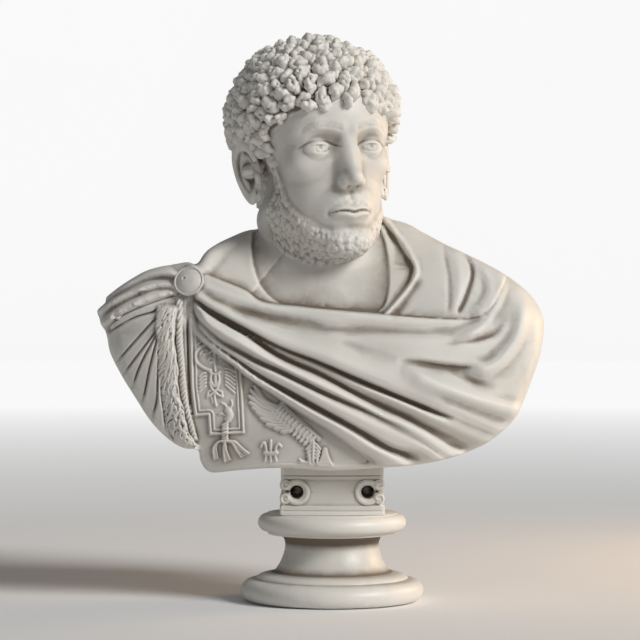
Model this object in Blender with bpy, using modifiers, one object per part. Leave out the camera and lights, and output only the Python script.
"""Roman emperor bust in white marble: one carved block (head, cloak, cuirass and index tablet) on a turned socle.

Metres, +Z up, origin at the centre of the socle's underside. The bust looks along -Y, and +X is the viewer's right.
The free form is drawn at its own size, in metres and, on the front elevation, in millimetres; FIGURE_HEIGHT sets
the size that it is carved at.
"""

import math

import bmesh
import bpy
import numpy as np
from mathutils import Matrix

# Driving sizes
FIGURE_HEIGHT = 0.545      # lowest edge of the cloak to the top of the hair
SOCLE_HEIGHT = 0.110
SOCLE_FOOT_RADIUS = 0.114
SOCLE_TOP_RADIUS = 0.0925
SOCLE_WAIST_RADIUS = 0.058
FOOT_TORUS_HEIGHT = 0.027
TOP_TORUS_HEIGHT = 0.0215
TABLET_WIDTH = 0.122
TABLET_DEPTH = 0.086
TABLET_HEIGHT = 0.0527     # bed on the socle to the lowest edge of the cloak
TABLET_BOW = 0.006         # how far the tablet's front swells in its middle
SCROLL_HOLE_RADIUS = 0.0084
SCROLL_RADIUS = 0.0158
BED_GAP = 0.0003           # joint between the socle and the block

# Fineness of the carved mesh
SPHERE_LEVEL = 6
TORSO_TRIANGLES = 3460
HEAD_TRIANGLES = 3760
SOCLE_SIDES = 32
CARVING_PITCH = 2.0        # mm between the heights worked out on the front elevation

# The drawing that the free form is made from
DRAWN_HEIGHT = 0.545
DRAWN_FOOT = 0.163         # height of the cloak's lowest edge in the drawing
EYE_DISTANCE = 3.10        # the elevation is drawn as seen from this far, level with EYE_AT
EYE_AT = (-0.015, 0.35)
MILLI = 1000.0

FIGURE_SCALE = FIGURE_HEIGHT / DRAWN_HEIGHT
FIGURE_FOOT = SOCLE_HEIGHT + BED_GAP + TABLET_HEIGHT


def clear_scene():
    for item in list(bpy.data.objects):
        bpy.data.objects.remove(item, do_unlink=True)


def marble(name, colour, roughness):
    made = bpy.data.materials.new(name)
    made.use_nodes = True
    shader = made.node_tree.nodes["Principled BSDF"]
    shader.inputs["Base Color"].default_value = (*colour, 1.0)
    shader.inputs["Roughness"].default_value = roughness
    shader.inputs["Metallic"].default_value = 0.0
    return made


# Distances: each form gives, for every point, how far it lies outside (over 0) or inside (under 0)
def ease(start, end, x):
    t = np.clip((x - start) / (end - start), 0.0, 1.0)
    return t * t * (3.0 - 2.0 * t)


def join(a, b, soft):
    t = np.clip(0.5 + 0.5 * (b - a) / soft, 0.0, 1.0)
    return b + (a - b) * t - soft * t * (1.0 - t)


def within(a, b, soft):
    return -join(-a, -b, soft)


def ellipsoid(p, centre, radii):
    q = p - np.array(centre)
    r = np.array(radii)
    near = np.linalg.norm(q / r, axis=1)
    slope = np.linalg.norm(q / (r * r), axis=1)
    return near * (near - 1.0) / np.maximum(slope, 1e-9)


def limb(p, start, end, start_radius, end_radius):
    a = np.array(start, float)
    run = np.array(end, float) - a
    t = np.clip(((p - a) @ run) / (run @ run), 0.0, 1.0)
    return np.linalg.norm(p - a - t[:, None] * run, axis=1) - (start_radius + (end_radius - start_radius) * t)


def smooth_line(points, count):
    """Evenly counted samples of a smooth line through the points."""
    p = np.array(points, float)
    p = np.vstack([2 * p[0] - p[1], p, 2 * p[-1] - p[-2]])
    samples = []
    for t in np.linspace(0.0, len(p) - 3 - 1e-9, count):
        i = int(t)
        f = t - i
        a, b, c, d = p[i:i + 4]
        bend = (2 * a - 5 * b + 4 * c - d) * f ** 2 + (3 * b - a - 3 * c + d) * f ** 3
        samples.append(0.5 * (2 * b + (c - a) * f + bend))
    return np.array(samples)


def roll(p, points, radii, count=12):
    """A round roll of cloth along a line."""
    path = smooth_line(points, count)
    thick = smooth_line([[r] for r in radii], count)[:, 0]
    found = limb(p, path[0], path[1], thick[0], thick[1])
    for i in range(1, count - 1):
        found = np.minimum(found, limb(p, path[i], path[i + 1], thick[i], thick[i + 1]))
    return found


def scatter(cells, seed):
    """A number from 0 to 1 for each whole-numbered cell, the same each run."""
    h = (cells[..., 0] * 73856093) ^ (cells[..., 1] * 19349663) ^ (cells[..., 2] * 83492791) ^ (seed * 2654435)
    h = (h ^ (h >> 13)) * 1274126177
    h = h ^ (h >> 16)
    return (h & 0xFFFFFF) / float(0xFFFFFF)


def pebbles(p, size, seed):
    """0 in the gaps to 1 on the crowns of small round lumps about size apart."""
    cell = np.floor(p / size).astype(np.int64)
    nearest = np.full(len(p), 9.0)
    for dx in (-1, 0, 1):
        for dy in (-1, 0, 1):
            for dz in (-1, 0, 1):
                at = cell + np.array([dx, dy, dz])
                spot = np.stack([scatter(at, seed + k) for k in range(3)], axis=1)
                nearest = np.minimum(nearest, np.linalg.norm(at + spot - p / size, axis=1))
    return np.clip(1.0 - (nearest / 0.75) ** 2, 0.0, 1.0)


# Front elevation
def elevation(p):
    """Where each point is seen on the front elevation, in millimetres."""
    shrink = EYE_DISTANCE / (EYE_DISTANCE + p[:, 1])
    across = ((p[:, 0] - EYE_AT[0]) * shrink + EYE_AT[0]) * MILLI
    up = ((p[:, 2] - EYE_AT[1]) * shrink + EYE_AT[1]) * MILLI
    return across, up


def polar(u, w, centre):
    return np.hypot(u - centre[0], w - centre[1]), np.arctan2(w - centre[1], u - centre[0])


def near_line(u, w, points, count):
    """Distance to a drawn line (over 0 to its left, under 0 to its right), and how far along it (0 to 1)."""
    c = smooth_line(points, count)
    best = np.full(len(u), 1e9)
    signed = np.zeros(len(u))
    along = np.zeros(len(u))
    for i in range(count - 1):
        a = c[i]
        d = c[i + 1] - a
        t = np.clip(((u - a[0]) * d[0] + (w - a[1]) * d[1]) / (d @ d), 0.0, 1.0)
        x = u - a[0] - t * d[0]
        z = w - a[1] - t * d[1]
        r = np.hypot(x, z)
        closer = r < best
        best = np.where(closer, r, best)
        signed = np.where(closer, np.where(d[0] * z - d[1] * x > 0, r, -r), signed)
        along = np.where(closer, (i + t) / (count - 1), along)
    return signed, along


OUTLINE_CENTRE = (-10.0, 300.0)
OUTLINE = [
    (0, 476), (60, 484), (80, 475), (105, 464), (134, 446), (166, 431), (209, 409), (241, 384), (257, 360),
    (261, 342), (258, 310), (247, 275), (238, 250), (226, 226), (199, 201), (170, 186), (139, 176), (100, 169), (58, 166),
    (0, 163), (-66, 166), (-116, 163), (-146, 160), (-157, 164), (-164, 176), (-167, 188), (-186, 191),
    (-205, 203), (-225, 224), (-246, 257), (-261, 282), (-274, 309), (-279, 333), (-292, 357), (-288, 375),
    (-273, 385), (-248, 401), (-224, 413), (-182, 421), (-167, 419), (-153, 438), (-126, 454), (-93, 470),
]


def outline_by_angle():
    line = smooth_line(OUTLINE + OUTLINE[:1], 400)
    reach, angle = polar(line[:, 0], line[:, 1], OUTLINE_CENTRE)
    order = np.argsort(angle)
    angle, reach = angle[order], reach[order]
    turn = 2 * math.pi
    return (np.concatenate([angle[-1:] - turn, angle, angle[:1] + turn]),
            np.concatenate([reach[-1:], reach, reach[:1]]))


OUTLINE_ANGLES, OUTLINE_REACH = outline_by_angle()
BACK_TAPER = 0.60          # share of the outline's reach that is lost towards the back


def side_folds(p, angle):
    """Grooves of the cloak where it turns round the arm to the back, as a depth in metres."""
    run = p[:, 2] * 1.05 + p[:, 1] * 0.55
    groove = 0.5 - 0.5 * np.sin(run / 0.0062 + 1.4 * np.sin(p[:, 1] / 0.03))
    arm = ease(1.25, 1.0, np.abs(angle - 0.05))
    return 0.0075 * groove ** 2 * arm * ease(0.0, 0.045, p[:, 1])


def outline(p):
    """Distance to the bust's outline, which draws in towards the back."""
    u, w = elevation(p)
    reach, angle = polar(u, w, OUTLINE_CENTRE)
    back = np.clip((p[:, 1] - 0.015) / 0.15, 0.0, 1.0)
    limit = np.interp(angle, OUTLINE_ANGLES, OUTLINE_REACH) * np.sqrt(1.0 - BACK_TAPER * back ** 2)
    return (reach - limit) / MILLI + side_folds(p, angle)


# Folds are rows of (line, heights in mm at four distances from the brooch); between two rows the cloth
# eases from one height to the other, so close rows make a steep side and far rows a broad one.
BROOCH_AT = (-177.0, 397.0)
FOLD_REACH = (20.0, 90.0, 200.0, 330.0)
SWAG = [
    ([(-158, 409), (-111, 390), (-86, 374), (-40, 368), (10, 363), (60, 359), (122, 354), (172, 354),
      (194, 366), (208, 390), (218, 420), (226, 455)], (0, 0, 0, 0)),
    ([(-158, 405), (-111, 386), (-86, 371), (-40, 365), (10, 360), (60, 356), (122, 351), (170, 350),
      (198, 360), (214, 385), (226, 420), (234, 450)], (12, 20, 24, 16)),
    ([(-155, 391), (-130, 382), (-99, 372), (-60, 362), (-20, 354), (40, 345), (120, 335), (190, 330), (300, 325)],
     (18, 22, 22, 18)),
    ([(-150, 379), (-130, 369), (-109, 361), (-78, 352), (-40, 341), (10, 327), (70, 310), (140, 296), (250, 280)],
     (15, 18, 21, 18)),
    ([(-165, 380), (-148, 369), (-106, 347), (-65, 326), (-14, 308), (34, 288), (81, 268), (142, 243), (230, 205)],
     (18, 25, 29, 24)),
    ([(-169, 379), (-151, 367), (-109, 343), (-68, 321), (-17, 302), (31, 282), (78, 262), (139, 237), (225, 200)],
     (18, 24, 27, 22)),
    ([(-171, 376), (-150, 361), (-107, 338), (-66, 316), (-17, 297), (31, 276), (78, 256), (139, 231), (222, 196)],
     (8, 6, 6, 10)),
    ([(-171, 374), (-148, 358), (-105, 334), (-65, 312), (-17, 292), (31, 269), (78, 250), (128, 228), (218, 190)],
     (8, 7, 16, 20)),
    ([(-172, 373), (-147, 353), (-101, 327), (-62, 303), (-17, 283), (31, 257), (94, 226), (158, 191), (208, 170)],
     (8, 6, 5, 6)),
    ([(-174, 375), (-142, 346), (-99, 318), (-57, 292), (-1, 267), (62, 233), (100, 216), (150, 186), (190, 165)],
     (16, 24, 22, 16)),
    ([(-178, 370), (-154, 345), (-116, 318), (-74, 295), (-38, 280), (34, 245), (70, 228), (120, 200), (180, 160)],
     (18, 28, 25, 18)),
    ([(-182, 362), (-158, 336), (-114, 306), (-78, 287), (-41, 272), (-1, 255), (46, 235), (100, 205), (170, 155)],
     (12, 10, 12, 17)),
    ([(-184, 358), (-160, 332), (-108, 301), (-68, 280), (-1, 245), (62, 213), (90, 200), (140, 178), (190, 140)],
     (12, 18, 24, 19)),
    ([(-186, 354), (-162, 328), (-110, 297), (-70, 275), (-3, 238), (45, 212), (80, 194), (118, 184), (170, 140)],
     (12, 15, 22, 18)),
    ([(-188, 350), (-164, 323), (-118, 292), (-88, 277), (-41, 253), (31, 214), (66, 193), (98, 178), (150, 140)],
     (11, 5, 4, 6)),
    ([(-190, 346), (-167, 319), (-140, 306), (-99, 284), (-33, 239), (15, 213), (50, 190), (83, 172), (130, 135)],
     (11, 18, 18, 14)),
    ([(-193, 340), (-171, 312), (-144, 298), (-103, 276), (-38, 233), (-1, 213), (23, 197), (68, 170), (100, 130)],
     (10, 14, 10, 8)),
    ([(-198, 332), (-176, 303), (-149, 291), (-108, 270), (-43, 227), (-8, 207), (20, 188), (52, 166), (90, 125)],
     (0, 0, 0, 0)),
]
# The bunched end of the cloak, from the brooch over the arm on the viewer's left
BUNCH = [
    ([(-186, 428), (-224, 424), (-251, 412), (-275, 397), (-300, 384)], (4, 4, 4, 4)),
    ([(-192, 409), (-230, 409), (-261, 394), (-287, 379), (-305, 370)], (12, 15, 14, 14)),
    ([(-194, 402), (-222, 401), (-245, 394), (-284, 371), (-303, 358)], (7, 8, 7, 7)),
    ([(-195, 394), (-220, 394), (-261, 381), (-289, 366), (-305, 354)], (13, 17, 16, 15)),
    ([(-196, 388), (-222, 388), (-252, 377), (-276, 362), (-298, 345)], (9, 9, 8, 8)),
    ([(-196, 384), (-220, 383), (-251, 371), (-274, 358), (-296, 340)], (11, 15, 14, 13)),
    ([(-196, 378), (-220, 375), (-245, 367), (-266, 354), (-285, 336)], (0, 0, 0, 0)),
]


def fold_rows(rows, flip):
    """Each row's angle about the brooch at rising distances; flip measures the angles from the left."""
    made = []
    for points, heights in rows:
        line = smooth_line(points, 80)
        reach, angle = polar(flip * line[:, 0], line[:, 1], (flip * BROOCH_AT[0], BROOCH_AT[1]))
        order = np.argsort(reach)
        made.append((reach[order], angle[order], heights))
    return made


def folds(u, w, rows, flip, least_mm):
    """Height of the folded cloth, in mm."""
    reach, angle = polar(flip * u, w, (flip * BROOCH_AT[0], BROOCH_AT[1]))
    least = np.clip(least_mm / np.maximum(reach, 8.0), 0.004, 0.06)
    height = np.zeros(len(u))
    above = None
    for distances, angles, heights in rows:
        here = np.interp(reach, distances, angles)
        rise = np.interp(reach, FOLD_REACH, heights)
        if above is None:
            height += rise * ease(here + least, here, angle)
        else:
            here = np.minimum(here, above[0] - least)
            height += (rise - above[1]) * ease(0.0, 1.0, (above[0] - angle) / (above[0] - here))
        above = (here, rise)
    return height * ease(5.0, 20.0, reach) * ease(1.25, 0.8, np.abs(angle + 0.35))


SWAG_ROWS = fold_rows(SWAG, 1)
BUNCH_ROWS = fold_rows(BUNCH, -1)

# Single ridges (height over 0) and grooves: line, height, breadth to the left and right, share that fades out
STROKES = [
    ([(114, 405), (98, 385), (86, 366), (70, 350)], -3.5, 5, 9, 0.25),
    ([(140, 447), (140, 432), (146, 405), (148, 380), (147, 357)], -4.5, 4, 7, 0.12),
    ([(165, 440), (170, 425), (175, 414), (171, 392), (156, 357)], -7.0, 5, 9, 0.15),
    ([(152, 445), (157, 425), (160, 405), (157, 380), (150, 357)], 3.5, 6, 7, 0.15),
    ([(186, 435), (195, 415), (196, 392), (184, 366), (172, 352)], 5.0, 8, 8, 0.15),
    ([(205, 425), (214, 400), (210, 377), (197, 355), (176, 333), (150, 322)], 6.0, 7, 10, 0.2),
    ([(228, 410), (229, 390), (224, 366), (214, 345), (196, 325), (170, 310)], -5.0, 6, 6, 0.2),
    ([(240, 380), (238, 350), (231, 325), (212, 300), (187, 288), (150, 290)], 7.0, 8, 9, 0.2),
    ([(88, 299), (110, 294), (140, 290), (167, 288), (192, 287), (225, 300)], -9.0, 5, 9, 0.3),
    ([(150, 283), (180, 277), (215, 272), (255, 275)], -9.0, 8, 8, 0.3),
    ([(88, 296), (116, 280), (150, 264), (185, 252), (224, 241), (255, 235)], 7.0, 9, 12, 0.2),
    ([(120, 262), (160, 244), (205, 225), (250, 215)], -4.0, 8, 10, 0.25),
    ([(62, 236), (95, 221), (130, 205), (170, 188)], 3.0, 5, 6, 0.25),
]
COLLAR_EDGE = [(58, 484), (80, 455), (94, 433), (103, 415), (98, 397), (82, 376), (60, 352), (40, 330)]
NECKLINE = [(-100, 460), (-101, 440), (-98, 415), (-88, 390), (-68, 372), (-30, 355), (20, 350), (60, 362),
            (70, 385), (71, 412), (68, 440), (62, 460)]
SHOULDER_STRAPS = [
    [(-214, 366), (-224, 360), (-249, 352), (-280, 334)],
    [(-216, 352), (-225, 347), (-268, 299), (-280, 285)],
    [(-214, 341), (-222, 333), (-244, 305), (-262, 280)],
    [(-216, 334), (-224, 324), (-240, 293), (-252, 258)],
    [(-219, 326), (-228, 290), (-235, 255), (-242, 238)],
    [(-217, 300), (-218, 275), (-219, 250), (-226, 222)],
    [(-214, 262), (-211, 240), (-209, 222), (-206, 200)],
]
FRINGE = [(-206, 372), (-208, 345), (-203, 306), (-198, 252), (-187, 200), (-184, 188)]
FRINGE_HALF = 14.5
TWISTED_CORD = [(-194, 358), (-192, 330), (-189, 300), (-187, 268), (-184, 240)]
STRAP_FRAME = [(-178, 345), (-176, 300), (-175, 265), (-172, 231), (-153, 231), (-153, 206), (-109, 207),
               (-112, 245), (-116, 292)]
WING_ROOT = (-38.0, 214.0)
WING_ANGLES = np.radians([100, 118, 134, 150, 168, 184, 198])
WING_REACH = (16, 52, 70, 76, 66, 58, 40)
WING_FEATHERS = 10


def stroke(u, w, points, height, left, right, fade):
    d, t = near_line(u, w, points, 18)
    breadth = np.where(d > 0, left, right)
    return height * np.exp(-(d / breadth) ** 2) * ease(0.0, fade, t) * ease(1.0, 1.0 - fade, t)


def shoulder_straps(u, w):
    """Leather straps fanning over the arm, each a little over the next."""
    height = np.zeros(len(u))
    for points in SHOULDER_STRAPS:
        d, _ = near_line(u, w, points, 14)
        height += 2.0 * ease(-0.8, 3.0, d) - 2.6 * np.exp(-(d / 1.8) ** 2)
    return height * ease(-199.0, -210.0, u) * ease(374.0, 362.0, w)


def wing(u, w):
    """Spread wing in relief: long feathers about the shoulder of the bird."""
    reach, angle = polar(u, w, WING_ROOT)
    angle = np.mod(angle, 2 * math.pi)
    first, last = WING_ANGLES[0], WING_ANGLES[-1]
    tip = np.interp(angle, WING_ANGLES, WING_REACH)
    blade = np.abs(np.sin((angle - first) / (last - first) * math.pi * WING_FEATHERS)) ** 0.6
    shape = ease(tip + 1.0, tip - 3.0, reach) * ease(first, first + 0.12, angle) * ease(last, last - 0.1, angle)
    return shape * (2.4 + 2.2 * blade * ease(14.0, 34.0, reach))


def strap_frame(u, w):
    """Two raised lines inside the edge of the strap that hangs on the breast."""
    d, _ = near_line(u, w, STRAP_FRAME, 60)
    return 2.2 * np.exp(-((d - 2.0) / 1.6) ** 4) + 1.8 * np.exp(-((d - 7.5) / 1.5) ** 4)


def carving(u, w):
    """Everything carved on the front, in mm above the plain body."""
    swag = folds(u, w, SWAG_ROWS, 1, 2.2)
    bare = 1.0 - ease(0.5, 6.0, swag)
    height = swag + folds(u, w, BUNCH_ROWS, -1, 2.2)
    edge, _ = near_line(u, w, COLLAR_EDGE, 30)
    cloak = ease(-2.0, 2.0, edge)
    height += 9.0 * cloak * bare * ease(320.0, 345.0, w)
    height += stroke(u, w, COLLAR_EDGE, 4.0, 5.0, 2.0, 0.05) * bare
    for points, rise, left, right, fade in STROKES:
        height += stroke(u, w, points, rise, left, right, fade)
    skin, _ = near_line(u, w, NECKLINE, 30)
    height += 3.5 * ease(-1.2, 1.2, -skin) * bare * (1.0 - cloak) * ease(330.0, 350.0, w)
    height += bare * (shoulder_straps(u, w) + strap_frame(u, w) + wing(u, w))
    d, t = near_line(u, w, FRINGE, 30)
    d = np.abs(d)
    band = ease(FRINGE_HALF, FRINGE_HALF - 4.0, d) * bare * ease(382.0, 368.0, w)
    lock = np.abs(((t * 190.0 + d) / 14.0) % 1.0 - 0.5) * 2.0
    height = height * (1.0 - band) + band * (11.0 + 3.5 * lock + 1.5 * (1.0 - (d / FRINGE_HALF) ** 2))
    d, t = near_line(u, w, TWISTED_CORD, 20)
    return height + bare * ease(4.5, 1.5, np.abs(d)) * (2.5 + np.sin(t * 2 * math.pi * 14))


class Carved:
    """The carving's heights on an even grid, read between its points."""

    def __init__(self, pitch):
        self.pitch = pitch
        self.low = np.array([-320.0, 130.0])
        across = np.arange(self.low[0], 300.0, pitch)
        up = np.arange(self.low[1], 510.0, pitch)
        u, w = np.meshgrid(across, up, indexing="ij")
        self.heights = carving(u.ravel(), w.ravel()).reshape(u.shape)

    def at(self, u, w):
        top = np.array(self.heights.shape) - 1.001
        a = np.clip((u - self.low[0]) / self.pitch, 0.0, top[0])
        b = np.clip((w - self.low[1]) / self.pitch, 0.0, top[1])
        i, j = a.astype(int), b.astype(int)
        a, b = a - i, b - j
        h = self.heights
        return ((h[i, j] * (1 - a) + h[i + 1, j] * a) * (1 - b) + (h[i, j + 1] * (1 - a) + h[i + 1, j + 1] * a) * b)


# Torso
def plain_body(p):
    form = ellipsoid(p, (-0.005, 0.020, 0.250), (0.212, 0.122, 0.190))
    form = join(form, ellipsoid(p, (0.158, 0.016, 0.318), (0.122, 0.092, 0.114)), 0.06)
    form = join(form, ellipsoid(p, (0.095, 0.010, 0.240), (0.135, 0.095, 0.100)), 0.05)
    form = join(form, ellipsoid(p, (-0.175, 0.008, 0.298), (0.130, 0.092, 0.124)), 0.06)
    form = join(form, limb(p, (-0.03, 0.050, 0.425), (-0.140, 0.012, 0.386), 0.052, 0.044), 0.05)
    return join(form, limb(p, (0.00, 0.046, 0.430), (0.165, 0.022, 0.372), 0.056, 0.064), 0.05)


def hollow_back(p):
    """The hollow behind the bust, round the pillar that carries it. Under 0 in the hollow."""
    dished = ellipsoid(p, (0.0, 0.200, 0.205), (0.205, 0.150, 0.150))
    pillar = limb(p, (0.0, 0.085, 0.12), (0.0, 0.085, 0.36), 0.046, 0.060)
    return within(dished, -pillar, 0.03)


def back_folds(p):
    """Broad folds of the cloak down the back, in mm."""
    x, z = p[:, 0] * MILLI, p[:, 2] * MILLI
    fan = (x - 60.0) / (1.0 + (470.0 - z) / 260.0)
    return 5.0 * np.sin(fan / 8.3 + 0.9 * np.sin(z / 60.0)) + 2.0 * np.sin(fan / 5.0 + z / 80.0)


def brooch(p):
    """Round brooch with a rim, a dome and a small boss, on the shoulder at the viewer's left."""
    normal = np.array([-0.22, -0.92, 0.32])
    normal /= np.linalg.norm(normal)
    d = p - np.array([-0.1745, -0.066, 0.3965])
    out = d @ normal
    across = np.linalg.norm(d - out[:, None] * normal, axis=1)
    disc = within(across - 0.0185, np.abs(out) - 0.008, 0.004)
    rim = np.hypot(across - 0.0165, out - 0.0075) - 0.0028
    dome = np.hypot(across, out + 0.004) - 0.0165
    boss = np.hypot(across, out - 0.012) - 0.0045
    return join(np.minimum(join(disc, dome, 0.003), rim), boss, 0.002)


LEFT_COLLAR = [(-0.015, 0.100, 0.456), (-0.080, 0.066, 0.450), (-0.128, 0.012, 0.438), (-0.158, -0.034, 0.418),
               (-0.168, -0.054, 0.404)]
RIGHT_COLLAR = [(-0.015, 0.100, 0.464), (0.062, 0.070, 0.472), (0.096, 0.018, 0.455), (0.106, -0.030, 0.420)]


def torso(p, carved):
    u, w = elevation(p)
    front = 1.0 - ease(0.02, 0.075, p[:, 1])
    height = carved.at(u, w) * front + back_folds(p) * ease(0.05, 0.10, p[:, 1])
    form = plain_body(p) - height / MILLI
    form = join(form, roll(p, LEFT_COLLAR, (0.020, 0.020, 0.019, 0.016, 0.010), 14), 0.012)
    form = join(form, roll(p, RIGHT_COLLAR, (0.020, 0.020, 0.017, 0.008), 12), 0.016)
    soft = np.interp(p[:, 2], [0.20, 0.30, 0.37, 0.41], [0.006, 0.018, 0.026, 0.014])
    form = within(form, outline(p) - soft / 6, soft)
    form = within(form, -hollow_back(p), 0.012)
    return join(form, brooch(p), 0.0015)


# Head, drawn in shares of its own height: chin at 0, crown at 1, face towards -Y
HEAD_HEIGHT = 0.262
HEAD_TURN = math.radians(22)       # to the viewer's right
HEAD_LEAN = math.radians(3)        # crown to the viewer's left
HEAD_AT = np.array([-0.011, -0.005, 0.426])
HEAD_AXES = np.array(Matrix.Rotation(-HEAD_LEAN, 3, "Y") @ Matrix.Rotation(HEAD_TURN, 3, "Z"))


def to_head(p):
    return ((p - HEAD_AT) @ HEAD_AXES) / HEAD_HEIGHT


def from_head(q):
    return (q * HEAD_HEIGHT) @ HEAD_AXES.T + HEAD_AT


def lips(x, z):
    """How far the lips stand out, seen from the front."""
    part = 0.205 - 0.004 * np.exp(-(x / 0.020) ** 2) + 0.004 * np.exp(-((x - 0.05) / 0.03) ** 2)
    part = part - 0.004 * (x / 0.098) ** 4
    full = np.sqrt(np.clip(1.0 - (x / 0.100) ** 2, 0.0, 1.0))
    upper = 0.015 * full * np.exp(-((z - part - 0.013 * full) / (0.012 * full + 0.004)) ** 2)
    lower = 0.019 * full * np.exp(-((z - part + 0.019 * full) / (0.016 * full + 0.004)) ** 2)
    parting = -0.014 * ease(0.108, 0.085, x) * np.exp(-((z - part) / 0.0045) ** 2)
    corner = -0.010 * np.exp(-((x - 0.102) ** 2 + (z - 0.200) ** 2) / 0.012 ** 2)
    philtrum = -0.007 * np.exp(-(x / 0.010) ** 2) * ease(0.235, 0.250, z) * ease(0.310, 0.290, z)
    under = -0.010 * np.exp(-(x / 0.05) ** 2 - ((z - 0.135) / 0.016) ** 2)
    return upper + lower + parting + corner + philtrum + under


def eye_opening(x, z):
    """Almond between the lids, from two arcs. Under 0 inside."""
    a = x - 0.128
    b = z - 0.500 - 0.05 * a
    return np.maximum(np.hypot(a + 0.004, b + 0.056) - 0.084, np.hypot(a - 0.004, b - 0.076) - 0.100)


def ear(m):
    """Ear of the side with x over 0."""
    flare = math.radians(32)
    d = m - np.array([0.338, 0.035, 0.425])
    out = d[:, 0] * math.cos(flare) - d[:, 1] * math.sin(flare)
    back = d[:, 0] * math.sin(flare) + d[:, 1] * math.cos(flare) - 0.16 * d[:, 2]
    up = d[:, 2]
    e = np.stack([back, up, out], axis=1)
    wide = 0.060 * (1.0 + 1.6 * np.clip(up, -0.13, 0.13))
    round_ = np.hypot(back / wide, up / 0.128)
    rim = np.hypot((round_ - 1.0) * 0.062, out - 0.020) - 0.0135
    shell = ellipsoid(e, (0.0, 0.0, -0.004), (0.064, 0.128, 0.026))
    form = join(shell, rim, 0.010)
    form = within(form, -ellipsoid(e, (-0.006, -0.010, 0.030), (0.036, 0.080, 0.034)), 0.012)
    inner = np.hypot((np.hypot((back + 0.004) / 0.036, (up - 0.012) / 0.084) - 1.0) * 0.036, out - 0.014) - 0.009
    form = join(form, np.maximum(inner, -back - 0.012), 0.010)
    form = join(form, ellipsoid(e, (-0.052, -0.030, 0.014), (0.015, 0.024, 0.014)), 0.010)
    return join(form, ellipsoid(e, (-0.020, -0.112, 0.004), (0.028, 0.030, 0.017)), 0.014)


def face(q):
    m = q.copy()
    m[:, 0] = np.abs(m[:, 0])
    x, y, z = m.T
    form = ellipsoid(m, (0, 0.02, 0.665), (0.308, 0.405, 0.328))
    form = join(form, ellipsoid(m, (0, -0.13, 0.61), (0.272, 0.262, 0.26)), 0.10)
    form = join(form, ellipsoid(m, (0, -0.155, 0.37), (0.240, 0.218, 0.27)), 0.09)
    form = join(form, ellipsoid(m, (0, -0.160, 0.20), (0.205, 0.185, 0.20)), 0.08)
    form = join(form, limb(m, (0.05, -0.295, 0.080), (0.222, -0.02, 0.225), 0.058, 0.062), 0.07)
    form = join(form, ellipsoid(m, (0.168, -0.252, 0.430), (0.070, 0.062, 0.050)), 0.07)
    form = join(form, ellipsoid(m, (0, -0.335, 0.072), (0.070, 0.050, 0.056)), 0.06)
    form = join(form, ellipsoid(m, (0, -0.310, 0.215), (0.110, 0.086, 0.090)), 0.06)
    form = join(form, limb(m, (0.035, -0.366, 0.590), (0.130, -0.345, 0.607), 0.017, 0.018), 0.05)
    form = join(form, limb(m, (0.130, -0.345, 0.607), (0.208, -0.275, 0.572), 0.018, 0.014), 0.05)
    form = within(form, -ellipsoid(m, (0.124, -0.398, 0.520), (0.080, 0.060, 0.050)), 0.05)
    nose = limb(m, (0, -0.362, 0.570), (0, -0.440, 0.372), 0.023, 0.031)
    nose = join(nose, ellipsoid(m, (0, -0.452, 0.353), (0.036, 0.036, 0.032)), 0.03)
    nose = join(nose, ellipsoid(m, (0.042, -0.405, 0.336), (0.026, 0.038, 0.029)), 0.022)
    nose = join(nose, ellipsoid(m, (0, -0.365, 0.420), (0.060, 0.060, 0.12)), 0.05)
    form = join(form, nose, 0.026)
    form = within(form, -ellipsoid(m, (0.023, -0.425, 0.307), (0.013, 0.022, 0.015)), 0.012)
    form = form - lips(x, z) * ease(-0.24, -0.31, y)
    ball = np.linalg.norm(m - np.array([0.128, -0.304, 0.500]), axis=1)
    gap = eye_opening(x, z)
    form = join(form, within(ball - 0.0615, -gap, 0.006), 0.012)
    form = within(form, -within(ball - 0.066, gap + 0.002, 0.004), 0.003)
    form = join(form, ball - 0.0540, 0.002)
    return join(form, ear(m), 0.010)


HAIRLINE_TURN = (0, 20, 35, 48, 58, 66, 74, 81, 88, 97, 107, 116, 127, 146, 180)
HAIRLINE_HEIGHT = (0.765, 0.765, 0.745, 0.70, 0.62, 0.52, 0.44, 0.45, 0.58, 0.585, 0.50, 0.30, 0.17, 0.08, 0.05)
BEARD_TURN = (0, 15, 28, 40, 52, 62, 70, 84, 92, 102, 110)
BEARD_TOP = (0.108, 0.112, 0.150, 0.200, 0.280, 0.390, 0.520, 0.520, 0.290, 0.200, 0.02)
BEARD_FOOT = (-0.05, -0.05, -0.05, -0.045, -0.035, -0.02, 0.01, 0.06, 0.09, 0.15, 0.30)


def turn_of(q):
    """Turn round the head's own axis, in degrees: 0 at the face, 180 at the back."""
    return np.degrees(np.arctan2(np.abs(q[:, 0]), -q[:, 1]))


def hair_depth(q):
    """How far inside the hairline a point lies."""
    return q[:, 2] - np.interp(turn_of(q), HAIRLINE_TURN, HAIRLINE_HEIGHT)


HAIR_SINK = 0.030          # the shell lies this far under the crowns of the curls


def hair_shell(q):
    outer = ellipsoid(q, (0, 0.030, 0.695), (0.424, 0.475, 0.364))
    outer = join(outer, ellipsoid(q, (0, 0.030, 0.835), (0.290, 0.350, 0.222)), 0.10)
    outer = join(outer, ellipsoid(q, (0, 0.165, 0.340), (0.236, 0.245, 0.330)), 0.08)
    return within(outer + HAIR_SINK, -0.9 * hair_depth(q), 0.035)


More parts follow.
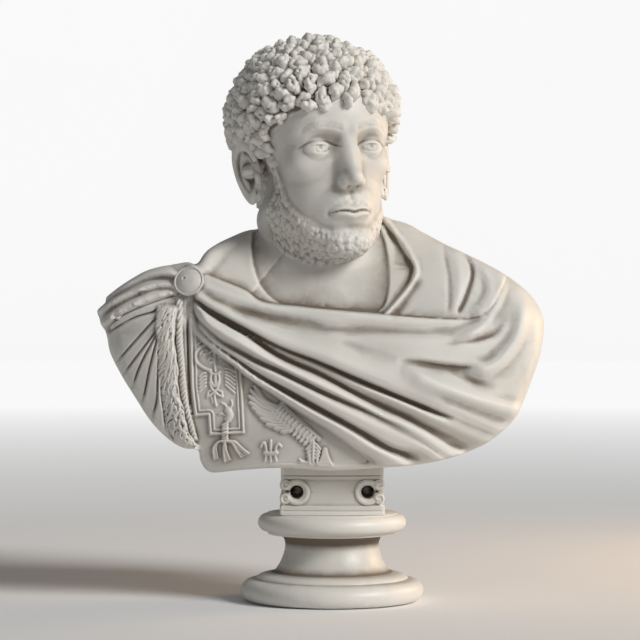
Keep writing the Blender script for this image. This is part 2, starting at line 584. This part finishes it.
def beard_cover(q):
    """1 in the beard, 0 on bare skin, with a soft edge."""
    turn = turn_of(q)
    x, z = np.abs(q[:, 0]), q[:, 2]
    top = np.interp(turn, BEARD_TURN, BEARD_TOP)
    foot = np.interp(turn, BEARD_TURN, BEARD_FOOT)
    cover = ease(0.015, -0.020, z - top) * ease(-0.015, 0.020, z - foot) * ease(112.0, 106.0, turn)
    lip = 0.55 * ease(0.120, 0.095, x) * ease(0.228, 0.246, z) * ease(0.308, 0.285, z) * ease(-0.25, -0.31, q[:, 1])
    return np.maximum(cover, lip)


NECK_FOOT = (-0.012, 0.022, 0.330)
NECK_TOP = (-0.018, 0.012, 0.500)
NECK_PIT = (0.004, -0.055, 0.372)


def neck(p):
    form = limb(p, NECK_FOOT, NECK_TOP, 0.084, 0.070)
    for side in (-1, 1):
        behind_ear = from_head(np.array([[side * 0.262, 0.10, 0.21]]))[0]
        form = join(form, limb(p, behind_ear, NECK_PIT, 0.016, 0.012), 0.03)
    return form


def head(p):
    q = to_head(p)
    form = face(q)
    form = join(form, hair_shell(q), 0.012)
    form = form - 0.016 * beard_cover(q)
    return join(form * HEAD_HEIGHT, neck(p), 0.018)


CURLS = 320                # over a whole sphere; those inside the hairline are kept
CURL_CENTRE = np.array([0.0, 0.04, 0.60])


def curls():
    """Each curl's crown, normal, long way, breadth and height, in shares of the head."""
    index = np.arange(CURLS) + 0.5
    up = 1.0 - 2.0 * index / CURLS
    turn = index * math.pi * (1.0 + math.sqrt(5.0))
    level = np.sqrt(1.0 - up * up)
    ray = np.stack([level * np.cos(turn), level * np.sin(turn), up], axis=1)
    number = np.stack([np.arange(CURLS)] * 3, axis=1)
    ray += 0.075 * (np.stack([scatter(number, k) for k in (1, 2, 3)], axis=1) - 0.5)
    ray /= np.linalg.norm(ray, axis=1)[:, None]
    near, far = np.zeros(CURLS), np.full(CURLS, 0.8)
    for _ in range(24):
        middle = (near + far) / 2
        inside = hair_shell(CURL_CENTRE + ray * middle[:, None]) < 0
        near = np.where(inside, middle, near)
        far = np.where(inside, far, middle)
    at = CURL_CENTRE + ray * far[:, None]
    kept = hair_depth(at) > -0.012
    at = at[kept]
    normal = slope(hair_shell, at, 0.002)
    normal /= np.linalg.norm(normal, axis=1)[:, None]
    random = [scatter(number[kept], k) for k in (4, 5, 6)]
    way = random[0] * 2 * math.pi
    side = np.cross(normal, np.array([0.31, 0.17, 0.93]))
    side /= np.linalg.norm(side, axis=1)[:, None]
    other = np.cross(normal, side)
    long_way = side * np.cos(way)[:, None] + other * np.sin(way)[:, None]
    return at, normal, long_way, 0.043 + 0.012 * random[1], 0.034 + 0.014 * random[2]


def curl_relief(q):
    """Height of the curls above the shell, in shares of the head."""
    height = np.zeros(len(q))
    for at, normal, long_way, breadth, rise in zip(*curls()):
        d = q - at
        out = d @ normal
        a = d @ long_way
        b = np.sqrt(np.maximum((d * d).sum(axis=1) - out * out - a * a, 0.0))
        inside = 1.0 - (a / (1.25 * breadth)) ** 2 - (b / breadth) ** 2
        dome = rise * np.clip(inside, 0.0, 1.0) ** 0.7 * (np.abs(out) < 0.08)
        height = np.maximum(height, dome)
    return height


def dress_hair(body):
    """Raises the curls from the hair's shell and the small lumps of the beard from the jaw."""
    p = points_of(body.data)
    q = to_head(p)
    slopes = slope(head, p, 0.002)
    slopes /= np.maximum(np.linalg.norm(slopes, axis=1), 1e-6)[:, None]
    on_shell = ease(0.020, 0.006, np.abs(hair_shell(q)))
    locks = on_shell * curl_relief(q)
    stubble = 0.012 * beard_cover(q) * pebbles(p, 0.0085, 11) * (1.0 - on_shell)
    place(body.data, p + slopes * ((locks + stubble) * HEAD_HEIGHT)[:, None])


# Meshes
def points_of(mesh):
    flat = np.empty(len(mesh.vertices) * 3, np.float32)
    mesh.vertices.foreach_get("co", flat)
    return flat.reshape(-1, 3).astype(float)


def place(mesh, points):
    mesh.vertices.foreach_set("co", points.astype(np.float32).ravel())
    mesh.update()


def slope(form, p, reach=0.0005):
    found = np.empty_like(p)
    for axis in range(3):
        shift = np.zeros(3)
        shift[axis] = reach
        found[:, axis] = (form(p + shift) - form(p - shift)) / (2 * reach)
    return found


def new_object(name, mesh, group):
    item = bpy.data.objects.new(name, mesh)
    group.objects.link(item)
    return item


def bake(item, add):
    """Adds a modifier, sets it with add, and keeps its result as the object's own mesh."""
    add(item)
    graph = bpy.context.evaluated_depsgraph_get()
    made = bpy.data.meshes.new_from_object(item.evaluated_get(graph))
    item.modifiers.clear()
    item.data = made


def remesh(item, size):
    def add(target):
        modifier = target.modifiers.new("even mesh", "REMESH")
        modifier.mode = "VOXEL"
        modifier.voxel_size = size
    bake(item, add)


def thin_out(item, triangles, plain=None):
    """Fewer faces; plain gives each point a share, and those near 1 are merged first."""
    def add(target):
        modifier = target.modifiers.new("fewer faces", "DECIMATE")
        modifier.ratio = triangles / (2.0 * len(target.data.polygons))
        if plain is not None:
            group = target.vertex_groups.new(name="plain")
            for index, share in enumerate(plain):
                group.add([index], float(share), "REPLACE")
            modifier.vertex_group = group.name
            modifier.vertex_group_factor = 0.14
    bake(item, add)
    item.vertex_groups.clear()


def unite(item, other):
    def add(target):
        modifier = target.modifiers.new("joined", "BOOLEAN")
        modifier.operation = "UNION"
        modifier.solver = "EXACT"
        modifier.object = other
    bake(item, add)
    bpy.data.objects.remove(other, do_unlink=True)


def wrapped_sphere(name, form, centre, reach, group):
    """A sphere drawn in onto a form, point by point, along the rays from its centre."""
    bm = bmesh.new()
    bmesh.ops.create_icosphere(bm, subdivisions=SPHERE_LEVEL, radius=1.0)
    mesh = bpy.data.meshes.new(name)
    bm.to_mesh(mesh)
    bm.free()
    ray = points_of(mesh)
    ray /= np.linalg.norm(ray, axis=1)[:, None]
    near, far = np.full(len(ray), 0.01), np.full(len(ray), reach)
    for _ in range(14):
        middle = (near + far) / 2
        inside = form(centre + ray * middle[:, None]) < 0
        near = np.where(inside, middle, near)
        far = np.where(inside, far, middle)
    place(mesh, centre + ray * near[:, None])
    return new_object(name, mesh, group)


def settle(item, form, rounds):
    """Moves the points onto the form along its own slope."""
    p = points_of(item.data)
    for _ in range(rounds):
        s = slope(form, p)
        move = -s * (form(p) / np.maximum((s * s).sum(axis=1), 0.05))[:, None]
        length = np.linalg.norm(move, axis=1)
        p = p + move * np.minimum(1.0, 0.004 / np.maximum(length, 1e-9))[:, None]
    place(item.data, p)


def carved_torso(group):
    carved = Carved(CARVING_PITCH)

    def form(p):
        return torso(p, carved)
    item = wrapped_sphere("torso", form, np.array([-0.005, 0.0, 0.30]), 0.40, group)
    remesh(item, 0.0045)
    settle(item, form, 2)
    thin_out(item, TORSO_TRIANGLES)
    return item


def carved_head(group):
    item = wrapped_sphere("head", head, from_head(np.array([[0.0, 0.0, 0.45]]))[0], 0.40, group)
    remesh(item, 0.0030)
    settle(item, head, 2)
    dress_hair(item)
    q = to_head(points_of(item.data))
    features = ease(-0.22, -0.30, q[:, 1]) * ease(0.10, 0.15, q[:, 2]) * ease(0.68, 0.62, q[:, 2])
    thin_out(item, HEAD_TRIANGLES, 1.0 - 0.5 * features)
    return item


def to_size(item):
    """Brings the drawn figure to its size, and stands it on the tablet."""
    p = points_of(item.data)
    p[:, 2] -= DRAWN_FOOT
    place(item.data, p * FIGURE_SCALE + np.array([0.0, 0.0, FIGURE_FOOT]))


# Tablet under the bust
TABLET_BED = SOCLE_HEIGHT + BED_GAP
TABLET_INTO_FIGURE = 0.016     # how far the tablet runs up into the block
TABLET_BACK = 0.036            # its back face, behind the axis
PLINTH_HEIGHT = 0.0105
HOLE_HEIGHT = 0.0285           # of the scroll holes over the bed
HOLE_INSET = 0.0175            # of the scroll holes from the tablet's sides
VOLUTE_RADIUS = 0.0060
SCROLL_PROUD = 0.0022


def slab(bm, width, front, back, low, high):
    made = bmesh.ops.create_cube(bm, size=1.0)["verts"]
    bmesh.ops.scale(bm, verts=made, vec=(width, back - front, high - low))
    bmesh.ops.translate(bm, verts=made, vec=(0.0, (front + back) / 2, (low + high) / 2))


def bowed(mesh, front):
    """Swells the front of a mesh in plan, most in the middle."""
    p = points_of(mesh)
    share = np.clip((TABLET_BACK - p[:, 1]) / (TABLET_BACK - front), 0.0, 1.2)
    p[:, 1] -= TABLET_BOW * share * (1.0 - (p[:, 0] / (TABLET_WIDTH / 2)) ** 2)
    place(mesh, p)


def mesh_object(name, bm, group):
    mesh = bpy.data.meshes.new(name)
    bm.to_mesh(mesh)
    bm.free()
    return new_object(name, mesh, group)


def divided_slab(name, width, front, back, low, high, group):
    bm = bmesh.new()
    slab(bm, width, front, back, low, high)
    for cut in np.linspace(-0.4, 0.4, 5):
        everything = bm.verts[:] + bm.edges[:] + bm.faces[:]
        bmesh.ops.bisect_plane(bm, geom=everything, plane_co=(cut * width, 0, 0), plane_no=(1, 0, 0))
    item = mesh_object(name, bm, group)
    bowed(item.data, front)
    return item


def disc(name, radius, x, z, front, back, sides, group):
    bm = bmesh.new()
    turned = Matrix.Translation((x, (front + back) / 2, z)) @ Matrix.Rotation(math.pi / 2, 4, "X")
    bmesh.ops.create_cone(bm, cap_ends=True, segments=sides, radius1=radius, radius2=radius, depth=back - front,
                          matrix=turned)
    return mesh_object(name, bm, group)


def cut_away(item, cutter):
    def add(target):
        modifier = target.modifiers.new("cut", "BOOLEAN")
        modifier.operation = "DIFFERENCE"
        modifier.solver = "EXACT"
        modifier.object = cutter
    bake(item, add)
    bpy.data.objects.remove(cutter, do_unlink=True)


def tablet(group):
    front = TABLET_BACK - TABLET_DEPTH
    top = FIGURE_FOOT + TABLET_INTO_FIGURE
    item = divided_slab("tablet", TABLET_WIDTH, front, TABLET_BACK, TABLET_BED + 0.001, top, group)
    steps = [(0.0030, TABLET_BED, TABLET_BED + PLINTH_HEIGHT),
             (0.0012, TABLET_BED + PLINTH_HEIGHT - 0.001, TABLET_BED + PLINTH_HEIGHT + 0.0030),
             (0.0016, FIGURE_FOOT - 0.0055, FIGURE_FOOT + 0.004)]
    for proud, low, high in steps:
        moulding = divided_slab("moulding", TABLET_WIDTH + proud, front - proud, TABLET_BACK + proud, low, high,
                                group)
        unite(item, moulding)
    middle = TABLET_BED + HOLE_HEIGHT
    for side in (-1, 1):
        x = side * (TABLET_WIDTH / 2 - HOLE_INSET)
        unite(item, disc("scroll", SCROLL_RADIUS, x, middle, front - SCROLL_PROUD - 0.002, front + 0.02, 20, group))
        cut_away(item, disc("notch", 0.0022, side * (TABLET_WIDTH / 2 + 0.0005), middle, front - 0.02,
                            TABLET_BACK + 0.02, 8, group))
        for rise in (-1, 1):
            volute = disc("volute", VOLUTE_RADIUS, side * (TABLET_WIDTH / 2 - 0.0045),
                          middle + rise * (VOLUTE_RADIUS + 0.0006), front - SCROLL_PROUD - 0.0035,
                          TABLET_BACK - 0.002, 14, group)
            unite(item, volute)
        cut_away(item, disc("hole", SCROLL_HOLE_RADIUS, x, middle, front - 0.03, TABLET_BACK + 0.03, 16, group))
    return item


# Turned socle
def arc(centre, radius, start, end, count):
    """Points of a profile along an arc, in degrees from the outward direction."""
    turned = np.radians(np.linspace(start, end, count))
    return [(centre[0] + radius * math.cos(t), centre[1] + radius * math.sin(t)) for t in turned]


def socle_profile():
    """Radius and height, from the middle of the top down the outer side to the middle of the underside."""
    top_torus = TOP_TORUS_HEIGHT / 2
    foot_torus = FOOT_TORUS_HEIGHT / 2
    torus_top = SOCLE_HEIGHT - 0.0015
    under = torus_top - TOP_TORUS_HEIGHT
    fillet = SOCLE_TOP_RADIUS - 0.0125
    throat_foot = FOOT_TORUS_HEIGHT + 0.009
    cushion = SOCLE_FOOT_RADIUS - 0.019
    points = [(0.0, SOCLE_HEIGHT), (SOCLE_TOP_RADIUS - 0.011, SOCLE_HEIGHT), (SOCLE_TOP_RADIUS - 0.011, torus_top)]
    points += arc((SOCLE_TOP_RADIUS - top_torus, torus_top - top_torus), top_torus, 88, -88, 7)
    points += [(fillet, under), (fillet, under - 0.0035), (SOCLE_WAIST_RADIUS + 0.0045, under - 0.0050)]
    low, high = throat_foot + 0.0005, under - 0.0080
    for t in np.linspace(1.0, 0.0, 7):
        swell = 0.0145 * (1.0 - t) ** 2.4 + 0.0030 * max(0.0, (t - 0.75) / 0.25) ** 2
        points.append((SOCLE_WAIST_RADIUS + swell, low + (high - low) * t))
    points += [(cushion - 0.0165, throat_foot - 0.0008)]
    points += [(cushion - 0.0165 * (1 - math.sin(t)), FOOT_TORUS_HEIGHT + 0.0005 + 0.0072 * math.cos(t))
               for t in np.radians([28, 60, 90])]
    points += arc((SOCLE_FOOT_RADIUS - foot_torus, foot_torus), foot_torus, 88, -62, 8)
    points += [(SOCLE_FOOT_RADIUS - 0.0125, 0.0), (0.0, 0.0)]
    return points


def socle(group):
    bm = bmesh.new()
    ring = [bm.verts.new((r, 0.0, z)) for r, z in socle_profile()]
    for a, b in zip(ring, ring[1:]):
        bm.edges.new((a, b))
    item = mesh_object("socle", bm, group)
    turning = item.modifiers.new("turning", "SCREW")
    turning.steps = turning.render_steps = SOCLE_SIDES
    turning.use_merge_vertices = True
    turning.merge_threshold = 0.0001
    return item


def main():
    clear_scene()
    group = bpy.data.collections.new("roman emperor bust")
    bpy.context.scene.collection.children.link(group)
    bust = carved_torso(group)
    unite(bust, carved_head(group))
    to_size(bust)
    unite(bust, tablet(group))
    bust.name = "bust"
    bust.data.materials.clear()
    bust.data.materials.append(marble("carved marble", (0.62, 0.59, 0.53), 0.50))
    base = socle(group)
    base.data.materials.append(marble("turned marble", (0.64, 0.60, 0.54), 0.38))
    for item in (bust, base):
        item.data.shade_smooth()


main()
